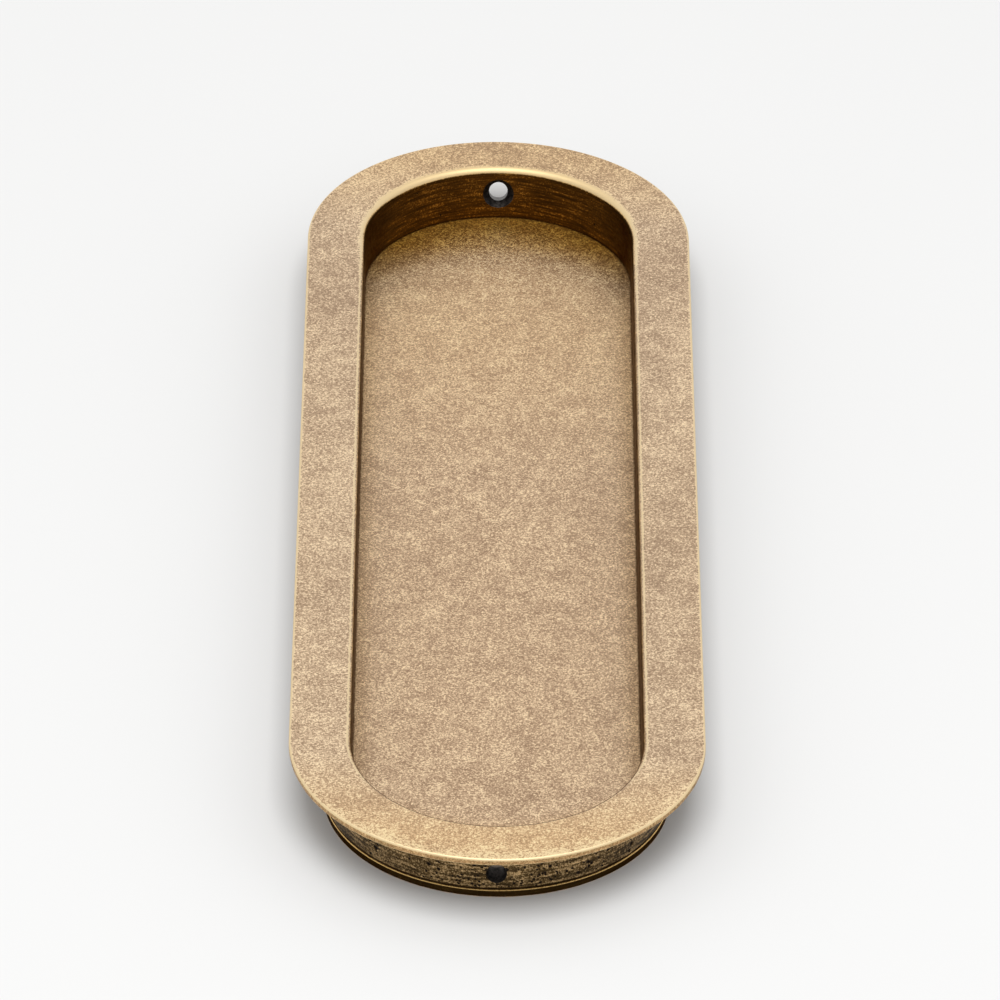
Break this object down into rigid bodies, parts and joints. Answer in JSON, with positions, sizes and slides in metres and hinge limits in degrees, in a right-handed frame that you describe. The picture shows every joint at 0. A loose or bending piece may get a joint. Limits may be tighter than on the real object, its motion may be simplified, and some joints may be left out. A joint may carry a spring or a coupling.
{
  "type": "pocket door pull",
  "caption": "Obround antiqued brass flush pull with a flat flange, a finger recess and leaning countersunk screw holes in its ends, let into a sliding pocket door.",
  "frame": {"origin": "middle of the base plate's back", "axes": "+Z out of the door's face, +Y along the pull towards its top end"},
  "size_m": [0.06, 0.2, 0.01],
  "materials": {
    "cast_brass": "tumbled antique, brown patina with brass worn bright at the edges, pitted outer wall",
    "sheet_brass": "tumbled antique, brown patina with fine bright flecks"
  },
  "bodies": {
    "root": {"surround": "cast_brass", "base_plate": "sheet_brass"}
  },
  "joints": []
}
